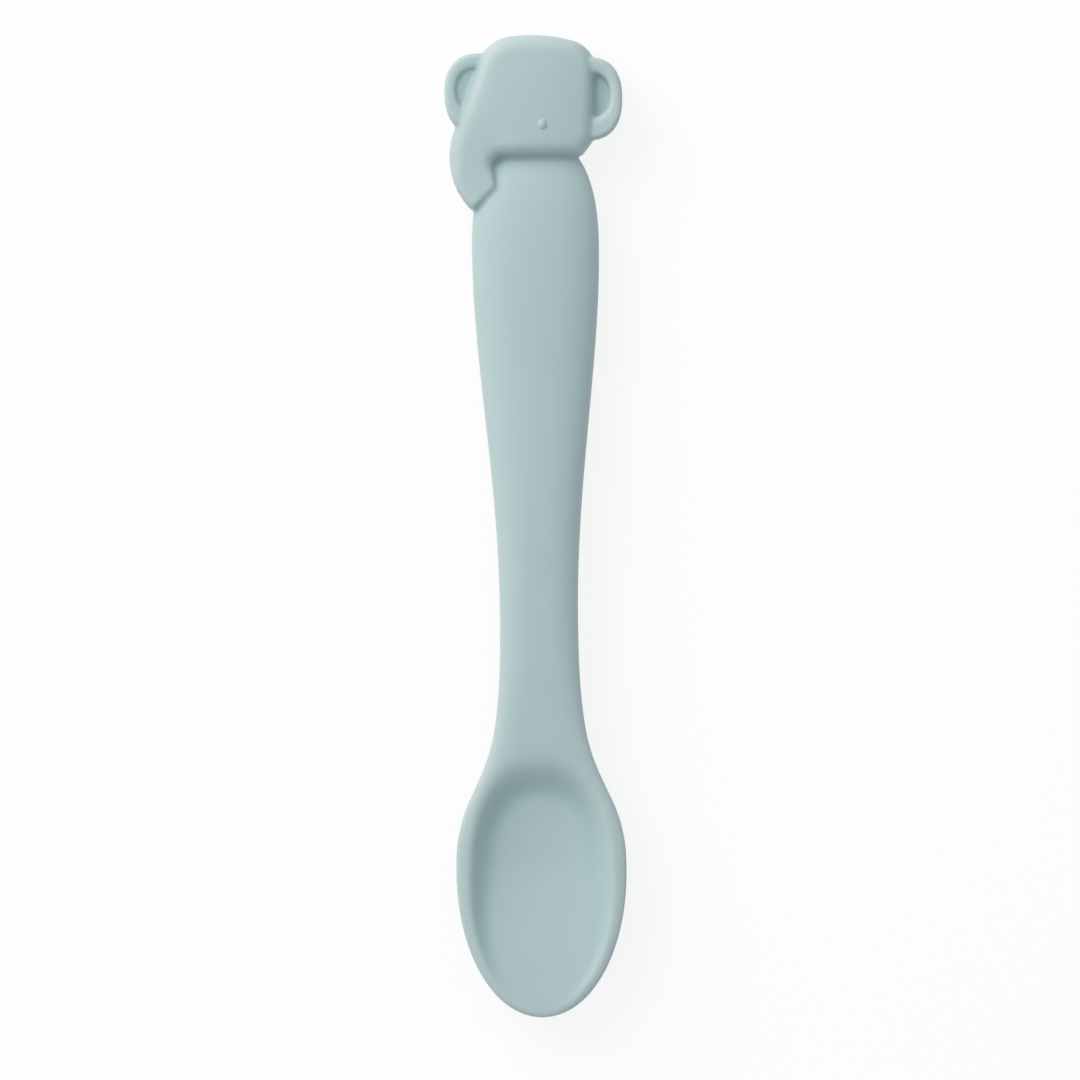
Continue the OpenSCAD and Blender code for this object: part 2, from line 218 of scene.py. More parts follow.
# %% The place along the spoon, with the rings closer together at both ends
swing = add(skin_tree, "ShaderNodeMath", [share_along, math.pi], operation="MULTIPLY")
swing = add(skin_tree, "ShaderNodeMath", [swing], operation="COSINE")
eased = add(skin_tree, "ShaderNodeMath", [swing, -0.5, 0.5], operation="MULTIPLY_ADD")
y = add(skin_tree, "ShaderNodeMath", [eased, size["Skin Length"], size["Tip Y"]], operation="MULTIPLY_ADD")
wide_y = add(skin_tree, "ShaderNodeMath", [size["Tip Y"], size["Nose Length"]], operation="ADD")
neck_y = add(skin_tree, "ShaderNodeMath", [wide_y, size["Flank Length"]], operation="ADD")
shoulder_y = add(skin_tree, "ShaderNodeMath", [size["Grip Y"], size["Shoulder Length"]], operation="ADD")
print("along the spoon:", len(skin_tree.nodes), "nodes so far")

# %% Four shares say how far a ring lies into the nose, flank, handle and shoulder
nose = add(skin_tree, "ShaderNodeMapRange", [y, wide_y, size["Tip Y"], 0.0, 1.0])
flank = add(skin_tree, "ShaderNodeMapRange", [y, wide_y, neck_y, 0.0, 1.0])
handle = add(skin_tree, "ShaderNodeMapRange", [y, neck_y, size["Grip Y"], 0.0, 1.0])
shoulder = add(skin_tree, "ShaderNodeMapRange", [y, size["Grip Y"], shoulder_y, 0.0, 1.0])
print("four shares:", len(skin_tree.nodes), "nodes so far")

# %% Drawn lines: the flank of the bowl, and three heights along the middle of the spoon
# The flank's shares run from the widest place to the neck. Its values are widths that a script
# measured on the photograph at those places. The shares of the way, for the heights, are the tip,
# the widest place, the neck, the middle of the grip, its widest place and the end.
HEIGHT_SCALE = 10 * MM
run = add(skin_tree, "ShaderNodeMapRange", [y, size["Tip Y"], shoulder_y, 0.0, 1.0])
DRAWN_LINES = {
    "flank": (flank, (0, 0.08, 0.16, 0.24, 0.32, 0.4, 0.48, 0.56, 0.66, 0.78, 0.9, 1),
              (1, 0.986, 0.918, 0.79, 0.6, 0.406, 0.253, 0.15, 0.077, 0.026, 0.006, 0)),
    "top": (run, (0, 0.167, 0.449, 0.75, 0.87, 1), (0.74, 0.8, 0.92, 0.94, 0.92, 0.83)),
    "side": (run, (0, 0.167, 0.449, 0.75, 0.87, 1), (0.61, 0.67, 0.62, 0.54, 0.52, 0.52)),
    "under": (run, (0, 0.167, 0.449, 0.75, 0.87, 1), (0.0, 0.0, 0.32, 0.12, 0.1, 0.1)),
}
lines = {}
for line_name, (share, places, heights) in DRAWN_LINES.items():
    line = add(skin_tree, "ShaderNodeFloatCurve", {"Value": share})
    knots = line.mapping.curves[0].points
    for _ in places[2:]:  # a new curve has two knots already
        knots.new(0.5, 0.5)
    for knot, spot in zip(knots, zip(places, heights)):
        knot.location = spot
        knot.handle_type = "AUTO_CLAMPED"
    line.mapping.update()
    lines[line_name] = line
for line_name in ("top", "side", "under"):
    lines[line_name] = add(skin_tree, "ShaderNodeMath", [lines[line_name], HEIGHT_SCALE],
                           operation="MULTIPLY")
print("drew", len(lines), "lines")

# %% The width: neck, plus what the bowl adds, plus what the grip adds
SWELL_POWER = 1.1  # above 1, the grip stays slim a little longer
swell = add(skin_tree, "ShaderNodeMath", [handle, SWELL_POWER], operation="POWER")
swell = add(skin_tree, "ShaderNodeMapRange", [swell, 0.0, 1.0, 0.0, 1.0], interpolation_type="SMOOTHSTEP")
bowl_adds = add(skin_tree, "ShaderNodeMath", [size["Bowl Width"], size["Neck Width"]], operation="SUBTRACT")
grip_adds = add(skin_tree, "ShaderNodeMath", [size["Grip Width"], size["Neck Width"]], operation="SUBTRACT")
width = add(skin_tree, "ShaderNodeMath", [bowl_adds, lines["flank"], size["Neck Width"]],
            operation="MULTIPLY_ADD")
width = add(skin_tree, "ShaderNodeMath", [grip_adds, swell, width], operation="MULTIPLY_ADD")
print("width:", len(skin_tree.nodes), "nodes so far")


# %% Ends close like a lens: one minus a power of the share, to the inverse power
# A power of 2 gives the end of an ellipse, and a larger one a blunter end.
NOSE_POWER, SHOULDER_POWER = 2.05, 2.42


def close_end(tree, share, power):
    """How open the spoon still is at a share of its nose or shoulder, from 1 down to 0."""
    raised = add(tree, "ShaderNodeMath", [share, power], operation="POWER")
    left = add(tree, "ShaderNodeMath", [1.0, raised], operation="SUBTRACT", use_clamp=True)
    return add(tree, "ShaderNodeMath", [left, 1 / power], operation="POWER")


nose_open = close_end(skin_tree, nose, NOSE_POWER)
shoulder_open = close_end(skin_tree, shoulder, SHOULDER_POWER)
width = add(skin_tree, "ShaderNodeMath", [width, nose_open], operation="MULTIPLY")
width = add(skin_tree, "ShaderNodeMath", [width, shoulder_open], operation="MULTIPLY")
half_width = add(skin_tree, "ShaderNodeMath", [width, 0.5], operation="MULTIPLY")
print("ends closed:", len(skin_tree.nodes), "nodes so far")

# %% The slice across: a point goes out along its angle until it meets the superellipse
# A power of 2 is an ellipse, and a larger one has squarer sides. The top of the bowl is the squarest.
BOWL_SQUARENESS, NECK_SQUARENESS, UNDER_SQUARENESS = 5.0, 2.6, 2.3
GRIP_ADDS_SQUARENESS = -0.3
angle = add(skin_tree, "ShaderNodeMath", [share_round, 2 * math.pi], operation="MULTIPLY")
cosine = add(skin_tree, "ShaderNodeMath", [angle], operation="COSINE")
sine = add(skin_tree, "ShaderNodeMath", [angle], operation="SINE")
is_top = add(skin_tree, "ShaderNodeMath", [sine, 0.0], operation="GREATER_THAN")
squareness = add(skin_tree, "ShaderNodeMapRange", [flank, 0.0, 1.0, BOWL_SQUARENESS, NECK_SQUARENESS],
                 interpolation_type="SMOOTHSTEP")
top_squareness = add(skin_tree, "ShaderNodeMath", [handle, GRIP_ADDS_SQUARENESS, squareness],
                     operation="MULTIPLY_ADD")
power = add(skin_tree, "ShaderNodeMix", [is_top, UNDER_SQUARENESS, top_squareness])
parts = []
for part in (cosine, sine):
    size_of = add(skin_tree, "ShaderNodeMath", [part], operation="ABSOLUTE")
    parts.append(add(skin_tree, "ShaderNodeMath", [size_of, power], operation="POWER"))
parts_sum = add(skin_tree, "ShaderNodeMath", parts, operation="ADD")
inverse = add(skin_tree, "ShaderNodeMath", [1.0, power], operation="DIVIDE")
stretch = add(skin_tree, "ShaderNodeMath", [parts_sum, inverse], operation="POWER")
across = add(skin_tree, "ShaderNodeMath", [cosine, stretch], operation="DIVIDE")
upright = add(skin_tree, "ShaderNodeMath", [sine, stretch], operation="DIVIDE")
print("slice:", len(skin_tree.nodes), "nodes so far")

# %% The last ring shrinks to a point, which closes the skin inside the head
LAST_RING = 0.9999
is_open = add(skin_tree, "ShaderNodeMath", [share_along, LAST_RING], operation="LESS_THAN")
ring_half = add(skin_tree, "ShaderNodeMath", [half_width, is_open], operation="MULTIPLY")
x = add(skin_tree, "ShaderNodeMath", [across, ring_half], operation="MULTIPLY")
print("last ring:", len(skin_tree.nodes), "nodes so far")

# %% Heights above and below the widest level
# The shoulder falls into the groove before its outline closes. At the tip the top stays nearly level,
# and the underside curves up to meet it.
GROOVE_SHARE, GROOVE_POWER = 0.91, 2.8
TOP_END_POWER, UNDER_END_POWER = 14, 2.2
groove = add(skin_tree, "ShaderNodeMath", [shoulder, GROOVE_SHARE], operation="DIVIDE")
groove = close_end(skin_tree, groove, GROOVE_POWER)
groove = add(skin_tree, "ShaderNodeMath", [groove, is_open], operation="MULTIPLY")
levels = []
for edge, end_power in ((lines["top"], TOP_END_POWER), (lines["under"], UNDER_END_POWER)):
    tall = add(skin_tree, "ShaderNodeMath", [edge, lines["side"]], operation="SUBTRACT")
    tall = add(skin_tree, "ShaderNodeMath", [tall], operation="ABSOLUTE")
    end = close_end(skin_tree, nose, end_power)
    tall = add(skin_tree, "ShaderNodeMath", [tall, end], operation="MULTIPLY")
    tall = add(skin_tree, "ShaderNodeMath", [tall, groove], operation="MULTIPLY")
    levels.append(add(skin_tree, "ShaderNodeMath", [upright, tall, lines["side"]],
                      operation="MULTIPLY_ADD"))
top_z, under_z = levels
print("heights:", len(skin_tree.nodes), "nodes so far")

# %% How far a point lies into the hollow: its share of the way aside, to the rear and to the front
HOLLOW_POWER = 2.5
NARROWING_POWER = 2.1
NARROWEST = 0.02  # keeps the division below possible at the tip
climb_end = add(skin_tree, "ShaderNodeMath", [size["Tip Y"], size["Tip Rim Width"]], operation="ADD")
deep_y = add(skin_tree, "ShaderNodeMath", [climb_end, size["Front Hollow Length"]], operation="ADD")
rear_y = add(skin_tree, "ShaderNodeMath", [deep_y, size["Rear Hollow Length"]], operation="ADD")
rear = add(skin_tree, "ShaderNodeMapRange", [y, deep_y, rear_y, 0.0, 1.0], clamp=False)
rear = add(skin_tree, "ShaderNodeMath", [rear, 0.0], operation="MAXIMUM")
front = add(skin_tree, "ShaderNodeMapRange", [y, deep_y, climb_end, 0.0, 1.0])
narrowed = close_end(skin_tree, front, NARROWING_POWER)
narrowed = add(skin_tree, "ShaderNodeMath", [narrowed, NARROWEST], operation="MAXIMUM")
hollow_w = add(skin_tree, "ShaderNodeMath", [size["Bowl Width"], 0.5], operation="MULTIPLY")
hollow_w = add(skin_tree, "ShaderNodeMath", [hollow_w, size["Rim Width"]], operation="SUBTRACT")
hollow_w = add(skin_tree, "ShaderNodeMath", [hollow_w, narrowed], operation="MULTIPLY")
aside = add(skin_tree, "ShaderNodeMath", [x, hollow_w], operation="DIVIDE")
aside = add(skin_tree, "ShaderNodeMath", [aside], operation="ABSOLUTE")
aside, rear = [add(skin_tree, "ShaderNodeMath", [part, HOLLOW_POWER], operation="POWER")
               for part in (aside, rear)]
both = add(skin_tree, "ShaderNodeMath", [aside, rear], operation="ADD")
reach = add(skin_tree, "ShaderNodeMath", [both, 1 / HOLLOW_POWER], operation="POWER")
rearward = add(skin_tree, "ShaderNodeMath", [rear, both], operation="DIVIDE")
print("place in the hollow:", len(skin_tree.nodes), "nodes so far")

# %% The hollow's wall leans outwards from its edge, steeply at the sides and gently under the neck
LEAN_SIDE, LEAN_REAR = 1.1, 0.9
spread = add(skin_tree, "ShaderNodeMix", [rearward, hollow_w, size["Rear Hollow Length"]])
lean = add(skin_tree, "ShaderNodeMapRange", [rearward, 0.0, 1.0, LEAN_SIDE, LEAN_REAR])
outside = add(skin_tree, "ShaderNodeMath", [reach, 1.0], operation="SUBTRACT")
outside = add(skin_tree, "ShaderNodeMath", [outside, spread], operation="MULTIPLY")
wall_z = add(skin_tree, "ShaderNodeMath", [outside, lean, lines["top"]], operation="MULTIPLY_ADD")
print("wall:", len(skin_tree.nodes), "nodes so far")

# %% The floor is a shallow dish, level under the neck and climbing evenly to the tip
FLOOR_DISH = 1.1 * MM
CLIMB_POWER = 1.4
CLIMB_LEAD = 4 * MM
FILLET = 1.7 * MM
climb_y = add(skin_tree, "ShaderNodeMath", [deep_y, CLIMB_LEAD], operation="ADD")
climb = add(skin_tree, "ShaderNodeMapRange", [y, climb_y, climb_end, 0.0, 1.0])
climb = add(skin_tree, "ShaderNodeMath", [climb, CLIMB_POWER], operation="POWER")
level = add(skin_tree, "ShaderNodeMix", [climb, size["Floor Height"], lines["top"]])
unclimbed = add(skin_tree, "ShaderNodeMath", [1.0, climb], operation="SUBTRACT")
dish = add(skin_tree, "ShaderNodeMath", [unclimbed, FLOOR_DISH], operation="MULTIPLY")
floor_z = add(skin_tree, "ShaderNodeMath", [both, dish, level], operation="MULTIPLY_ADD")
hollow_z = add(skin_tree, "ShaderNodeMath", [wall_z, floor_z, FILLET], operation="SMOOTH_MAX")
print("floor:", len(skin_tree.nodes), "nodes so far")

# %% A smooth minimum rounds the hollow's edge into the rim
# The neck flows softly into the hollow, the sides have a rounded rim, and the tip stays crisp.
ROUNDING_REAR, ROUNDING_SIDE, ROUNDING_TIP = 3.6 * MM, 1.1 * MM, 0.3 * MM
rounding = add(skin_tree, "ShaderNodeMapRange", [rearward, 0.0, 1.0, ROUNDING_SIDE, ROUNDING_REAR])
rounding = add(skin_tree, "ShaderNodeMix", [front, rounding, ROUNDING_TIP])
dished_z = add(skin_tree, "ShaderNodeMath", [top_z, hollow_z, rounding], operation="SMOOTH_MIN")
in_bowl = add(skin_tree, "ShaderNodeMath", [y, neck_y], operation="LESS_THAN")
crown_z = add(skin_tree, "ShaderNodeMix", [in_bowl, top_z, dished_z])
z = add(skin_tree, "ShaderNodeMix", [is_top, under_z, crown_z])
print("rim:", len(skin_tree.nodes), "nodes so far")

# %% Bend the grid, and merge the points that meet at the seam and the ends
SEAM_GAP = 0.001 * MM
moved_x = add(skin_tree, "ShaderNodeMath", [x, size["Middle X"]], operation="ADD")
bent = add(skin_tree, "GeometryNodeSetPosition", {
    "Geometry": grid.outputs["Mesh"],
    "Position": add(skin_tree, "ShaderNodeCombineXYZ", [moved_x, y, z]),
})
merged = add(skin_tree, "GeometryNodeMergeByDistance", {"Geometry": bent, "Distance": SEAM_GAP})
end_tree(skin_tree, merged, silicone)
spoon_skin = run_tree(skin_tree, new_object("spoon_skin"), skin_sizes)
print("spoon skin:", len(spoon_skin.data.polygons), "faces")

# %% [markdown]
# ## Head and trunk: a rounded slab with a domed front
#
# The head and the trunk are one flat-backed slab. Its outline is drawn by its corners, each with a
# radius, as a mould maker would draw it. Small triangles fill the outline, once for the front and
# once for the back, and each of their points gets its height from two rules: how deep it lies inside
# the outline, which rounds the edges, and how far it lies from the middle of the head, which makes
# the front bulge. Depth works where the trunk bends too, and insets of the outline would cross there.

# %% Corners of the outline, clockwise from the top: x, y and the radius, all in millimetres
HEAD_CORNERS = [
    (1.5, 73.23, 22), (9.4, 71.4, 4.6), (9.05, 57.7, 2.5), (7.05, 55.0, 1.6),
    (-6.1, 54.9, 1.5), (-5.95, 53.0, 0.7), (-5.6, 50.35, 1.3), (-9.1, 46.9, 0.8), (-14.2, 52.5, 11),
    (-6.9, 72.65, 6),
]
ARC_STEPS = 8
LONGEST_GAP = 0.4  # millimetres between two points of the outline


def with_neighbours(points):
    """Each point between the one before it and the one after it."""
    return zip(points[-1:] + points[:-1], points, points[1:] + points[:1])


def outline(corners):
    """The outline through the corners, with an arc at each of them and no long gap."""
    points = []
    for before, corner, after in with_neighbours(corners):
        into = (corner.xy - before.xy).normalized()
        out = (after.xy - corner.xy).normalized()
        turn = math.atan2(into.x * out.y - into.y * out.x, into.dot(out))
        arm = Vector((into.y, -into.x)) * -math.copysign(corner.z, turn)
        start = corner.xy - into * corner.z * math.tan(abs(turn) / 2)
        for step in range(ARC_STEPS + 1):
            points.append(start + arm - Matrix.Rotation(turn * step / ARC_STEPS, 2) @ arm)
    filled = []
    for point, after in zip(points, points[1:] + points[:1]):
        pieces = max(1, math.ceil((after - point).length / LONGEST_GAP))
        filled += [point.lerp(after, i / pieces) for i in range(pieces)]
    return filled


head_outline = outline([Vector(corner) for corner in HEAD_CORNERS])
print("head outline:", len(head_outline), "points")

# %% How deep a spot lies inside the outline
LEAST_SQUARE = 1e-12  # stands for the square of a side without length
HEAD_MIDDLE_Y, HEAD_ASIDE = 64, 5  # millimetres, three spots to try the rule on


def depth_inside(spots, loop):
    """How far each spot lies from the outline."""
    starts = np.array(loop)
    runs = np.roll(starts, -1, axis=0) - starts
    offsets = np.array(spots)[:, None] - starts
    shares = np.clip((offsets * runs).sum(-1) / np.maximum((runs * runs).sum(-1), LEAST_SQUARE), 0, 1)
    return np.linalg.norm(offsets - shares[..., None] * runs, axis=-1).min(1)


depths = depth_inside([Vector((x, HEAD_MIDDLE_Y)) for x in (-HEAD_ASIDE, 0, HEAD_ASIDE)], head_outline)
print("depths across the head in mm:", [round(float(depth), 1) for depth in depths])

# %% A closed skin over an outline
FILL_STEP = 0.6  # millimetres between the points inside
KEPT_DEPTH = 0.99  # a point of an inset row stays where the outline's other sides aren't nearer
SAME_SPOT = 1e-5


def finished(name, skin):
    """Turn the faces of a closed skin outwards, and make it an object."""
    bmesh.ops.recalc_face_normals(skin, faces=skin.faces)
    mesh = bpy.data.meshes.new(name)
    skin.to_mesh(mesh)
    skin.free()
    print(name + ":", len(mesh.polygons), "faces")
    return new_object(name, mesh)


def pillow(name, loop, edge_depths, heights):
    """A skin over an outline in millimetres, with a height rule for its front and its back."""
    spots = list(loop)
    for depth in edge_depths:
        row = []
        for before, spot, after in with_neighbours(loop):
            along = (after - before).normalized()
            row.append(spot + depth * Vector((along.y, -along.x)))
        spots += [p for p, d in zip(row, depth_inside(row, loop)) if d > KEPT_DEPTH * depth]
    (low_x, low_y), (high_x, high_y) = np.min(loop, axis=0), np.max(loop, axis=0)
    inner = [Vector((x, y)) for x in np.arange(low_x, high_x, FILL_STEP)
             for y in np.arange(low_y, high_y, FILL_STEP)]
    clear = edge_depths[-1] + FILL_STEP / 2
    spots += [p for p, d in zip(inner, depth_inside(inner, loop)) if d > clear]

    edges = [(i, (i + 1) % len(loop)) for i in range(len(loop))]
    places, _, triangles, _, _, _ = delaunay_2d_cdt(spots, edges, [], 1, SAME_SPOT)
    depths = depth_inside(places, loop)
    skin = bmesh.new()
    for height in heights:
        tips = [skin.verts.new((p.x * MM, p.y * MM, height(p.x, p.y, d) * MM))
                for p, d in zip(places, depths)]
        for triangle in triangles:
            skin.faces.new([tips[i] for i in triangle])
    open_edges = [edge for edge in skin.edges if edge.is_boundary]
    bmesh.ops.bridge_loops(skin, edges=open_edges)
    return finished(name, skin)


# %% Sizes of the head's two faces, in millimetres
HEAD_TOP = 9.8
DOME_X, DOME_Y = -2.4, 60
DOME_BEND_LEFT, DOME_BEND_RIGHT = 0.0025, 0.0013
DOME_RADIUS = 75
DOME_DROP = 2.0
TRUNK_DROP = 0.9
TRUNK_INNER_X, TRUNK_OUTER_X = -2.5, -7
TRUNK_START_Y, TRUNK_STOP_Y = 63, 50.5
TIGHT_START_Y, TIGHT_SHARE = 55, 0.4
FRONT_EDGE_IN, FRONT_EDGE_DOWN, FRONT_SOFTNESS = 2.4, 2.6, 2.6
BACK_EDGE = 1.4
print("head:", HEAD_TOP, "mm high, and", TRUNK_DROP, "mm less at the trunk")


# %% Heights of the head: a low dome that steps down into the trunk, and a flat back
def rounded_edge(depth, inward, down, softness=2):
    """How far a rounded edge lies below its face. A softer one starts without a visible line."""
    left = max(0, 1 - depth / inward)
    return down * (1 - math.sqrt(1 - left ** softness))


def soft_share(value, start, stop):
    """The share of the way from start to stop, which sets out softly and arrives softly."""
    share = min(1, max(0, (value - start) / (stop - start)))
    return share * share * (3 - 2 * share)


def head_front(x, y, depth):
    """Height of the front of the head. Its edge gets tighter down the trunk."""
    bend = DOME_BEND_LEFT if x < DOME_X else DOME_BEND_RIGHT
    fall = bend * abs(x - DOME_X) ** 3 + (y - DOME_Y) ** 2 / (2 * DOME_RADIUS)
    dome = HEAD_TOP - DOME_DROP * (1 - math.exp(-fall / DOME_DROP))
    trunk = TRUNK_DROP * soft_share(x, TRUNK_INNER_X, TRUNK_OUTER_X)
    trunk *= soft_share(y, TRUNK_START_Y, TRUNK_STOP_Y)
    tight = 1 - (1 - TIGHT_SHARE) * soft_share(y, TIGHT_START_Y, TRUNK_STOP_Y)
    edge = rounded_edge(depth, FRONT_EDGE_IN * tight, FRONT_EDGE_DOWN * tight, FRONT_SOFTNESS)
    return dome - trunk - edge


def head_back(x, y, depth):
    """Height of the back of the head."""
    return rounded_edge(depth, BACK_EDGE, BACK_EDGE)


EDGE_ANGLES = (12, 24, 36, 48, 60, 75, 90)
EDGE_DEPTHS = [FRONT_EDGE_IN * (1 - math.cos(math.radians(angle))) for angle in EDGE_ANGLES]
head = pillow("head", head_outline, EDGE_DEPTHS, (head_front, head_back))

# %% [markdown]
# ## Ears: ovals with a round rim
#
# Each ear is an oval with squarer sides that starts inside the head. A round rim goes round it, and
# the floor inside the rim is lower. The rim is thin at the side and wider at both ends. An oval
# stays an oval when it is made smaller, so rings of it, step by step inwards, make the skin: up the
# outside, over the rim and down to the floor.

# %% Sizes of an ear, in millimetres
EAR_WIDE = 10.2
EAR_POWER = 2.4
EAR_UNDER, EAR_TOP = 2.2, 8.0
EAR_EDGE = 0.8
EAR_RIM, EAR_RIM_ROUND = 1.75, 0.6
EAR_FLOOR_INSET = 1.95
EAR_END_SHARE = 1.55
EAR_FLOOR_SHIFT = 0.45
EAR_POINTS = 72
EDGE_STEPS = 7
RIGHT_MIDDLE, RIGHT_LONG, RIGHT_FLOOR = (8.1, 63.55), 12.2, 6.5
LEFT_MIDDLE, LEFT_LONG, LEFT_FLOOR = (-8.1, 64.45), 11.8, 7.35
print("ears:", EAR_WIDE, "mm wide,", RIGHT_LONG, "and", LEFT_LONG, "mm long")


# %% Rings of an ear
def ear_ring(middle, long, inset, height, inner=0.0):
    """An oval ring of the ear. Inner rings keep further from the two ends, most from the lower one."""
    end_inset = inset * (1 + (EAR_END_SHARE - 1) * inner)
    ring = []
    for step in range(EAR_POINTS):
        turn = 2 * math.pi * step / EAR_POINTS
        along, up = math.cos(turn), math.sin(turn)
        out = (abs(along) ** EAR_POWER + abs(up) ** EAR_POWER) ** (1 / EAR_POWER)
        ring.append(MM * Vector((
            middle[0] + (EAR_WIDE / 2 - inset) * along / out,
            middle[1] + (long / 2 - end_inset) * up / out + EAR_FLOOR_SHIFT * inner,
            height,
        )))
    return ring


def make_ear(name, middle, long, floor):
    """A closed skin through the rings, flat below and on the floor."""
    turns = [math.pi / 2 * step / EDGE_STEPS for step in range(EDGE_STEPS + 1)]
    steps = [(EAR_EDGE * (1 - math.sin(a)), EAR_UNDER + EAR_EDGE * (1 - math.cos(a))) for a in turns]
    steps += [(EAR_RIM_ROUND * (1 - math.cos(a)), EAR_TOP - EAR_RIM_ROUND * (1 - math.sin(a)))
              for a in turns]
    rings = [ear_ring(middle, long, inset, height) for inset, height in steps]
    for a in turns:
        inset = EAR_RIM - EAR_RIM_ROUND * (1 - math.sin(a))
        height = EAR_TOP - EAR_RIM_ROUND * (1 - math.cos(a))
        rings.append(ear_ring(middle, long, inset, height, inset / EAR_RIM))
    rings.append(ear_ring(middle, long, EAR_FLOOR_INSET, floor, 1))

    skin = bmesh.new()
    layers = [[skin.verts.new(point) for point in ring] for ring in rings]
    for lower, upper in zip(layers, layers[1:]):
        for i in range(EAR_POINTS):
            j = (i + 1) % EAR_POINTS
            skin.faces.new((lower[i], lower[j], upper[j], upper[i]))
    skin.faces.new(layers[0])
    skin.faces.new(layers[-1])
    return finished(name, skin)


right_ear = make_ear("right_ear", RIGHT_MIDDLE, RIGHT_LONG, RIGHT_FLOOR)
left_ear = make_ear("left_ear", LEFT_MIDDLE, LEFT_LONG, LEFT_FLOOR)

# %% [markdown]
# ## One moulding: join the skins and soften the joins
#
# The real spoon is one piece of rubber, and a mould can't make a knife-sharp groove. A voxel
# remesh joins the overlapping skins into one, on an even mesh. Then a small tree of geometry nodes
# blurs the points, which rounds the grooves where skins meet, and everywhere else it puts each
# point back on the skin that it came from, so that the rim and the edges keep their true size.

# %% Join the skins
VOXEL = 0.31 * MM

skins = [spoon_skin, head, right_ear, left_ear]
joined = bmesh.new()
for skin in skins:
    joined.from_mesh(skin.data)
union = new_object("moulded_silicone")
joined.to_mesh(union.data)
joined.free()
remesh = union.modifiers.new("even mesh", "REMESH")
remesh.mode = "VOXEL"
remesh.voxel_size = VOXEL
graph = bpy.context.evaluated_depsgraph_get()
even = bpy.data.meshes.new_from_object(union.evaluated_get(graph), depsgraph=graph)
union.modifiers.remove(remesh)
union.data = even
print("joined:", len(even.polygons), "faces")

# %% Soften the joins
soft_sizes = {
    "Blur Steps": 2, "Join Near": 0.1 * MM, "Join Far": 0.5 * MM,
    "Wide Blur Steps": 12, "Edge Pull": 0.06 * MM, "Even Steps": 6,
}
soft_tree, size = start_tree("Soft joins", soft_sizes)
here = add(soft_tree, "GeometryNodeInputPosition")
blurred = add(soft_tree, "GeometryNodeBlurAttribute",
              {"Value": here, "Iterations": size["Blur Steps"]}, data_type="FLOAT_VECTOR")
smoothed = add(soft_tree, "GeometryNodeSetPosition", {"Geometry": size["Geometry"], "Position": blurred})
best_place = best_gap = second_gap = None
for skin in skins:
    info = add(soft_tree, "GeometryNodeObjectInfo", {"Object": skin})
    nearest = add(soft_tree, "GeometryNodeProximity", {"Geometry": info.outputs["Geometry"]},
                  target_element="FACES")
    gap, spot = nearest.outputs["Distance"], nearest.outputs["Position"]
    if best_gap is None:
        best_gap, best_place = gap, spot
        continue
    nearer = add(soft_tree, "ShaderNodeMath", [gap, best_gap], operation="LESS_THAN")
    larger = add(soft_tree, "ShaderNodeMath", [gap, best_gap], operation="MAXIMUM")
    second_gap = larger if second_gap is None else add(
        soft_tree, "ShaderNodeMath", [larger, second_gap], operation="MINIMUM")
    best_gap = add(soft_tree, "ShaderNodeMath", [gap, best_gap], operation="MINIMUM")
    best_place = add(soft_tree, "ShaderNodeMix", [nearer, best_place, spot], data_type="VECTOR")
away = add(soft_tree, "ShaderNodeMapRange", [second_gap, size["Join Near"], size["Join Far"], 0.0, 1.0],
           interpolation_type="SMOOTHSTEP")
kept = add(soft_tree, "ShaderNodeMix", [away, here, best_place], data_type="VECTOR")
placed = add(soft_tree, "GeometryNodeSetPosition", {"Geometry": smoothed, "Position": kept})
print("softening:", len(soft_tree.nodes), "nodes so far")

# %% Note where the skin stands out and where it is sunk
# A wide blur pulls an edge inwards and a groove outwards. How far, along the normal, is the measure:
# 1 on an edge, -1 in a groove and 0 on an even face. A last blur evens out the mesh's own pattern.
wide = add(soft_tree, "GeometryNodeBlurAttribute",
           {"Value": here, "Iterations": size["Wide Blur Steps"]}, data_type="FLOAT_VECTOR")
pull = add(soft_tree, "ShaderNodeVectorMath", [here, wide], operation="SUBTRACT")
normal = add(soft_tree, "GeometryNodeInputNormal")
stands = add(soft_tree, "ShaderNodeVectorMath", [pull, normal], operation="DOT_PRODUCT").outputs["Value"]
sinks = add(soft_tree, "ShaderNodeMath", [0.0, size["Edge Pull"]], operation="SUBTRACT")
rubbed = add(soft_tree, "ShaderNodeMapRange", [stands, sinks, size["Edge Pull"], -1.0, 1.0])
even_painted_light = add(soft_tree, "GeometryNodeBlurAttribute",
                  {"Value": rubbed, "Iterations": size["Even Steps"]}, data_type="FLOAT")
# stored for the silicone, which paints a paler sheen on the edges and a darker shade in the grooves
noted = add(soft_tree, "GeometryNodeStoreNamedAttribute",
            {"Geometry": placed, "Name": "rubbed", "Value": even_painted_light})
end_tree(soft_tree, noted, silicone)
run_tree(soft_tree, union, soft_sizes)
for skin in skins:
    bpy.data.objects.remove(skin)
for polygon in union.data.polygons:
    polygon.use_smooth = True
print("softened:", len(union.data.polygons), "faces")

# %% [markdown]
# ## The eye: a small raised oval
#
# The eye is a low bump in the same rubber. It is smaller than a few faces of the even mesh, so the
# faces round it are cut finer first, and then the points inside the oval are lifted.

# %% Lift the eye
EYE_X, EYE_Y = 1.3 * MM, 59.65 * MM
EYE_HALF_WIDE, EYE_HALF_LONG = 0.6 * MM, 0.74 * MM
EYE_HEIGHT = 0.3 * MM
EYE_CUTS = 4
EYE_REGION = 1.5 * MM

fine_skin = bmesh.new()
fine_skin.from_mesh(union.data)


def near_eye(point):
    """Whether a point of the front lies near the eye."""
    return point.z > HEAD_TOP * MM / 2 and math.hypot(point.x - EYE_X, point.y - EYE_Y) < EYE_REGION


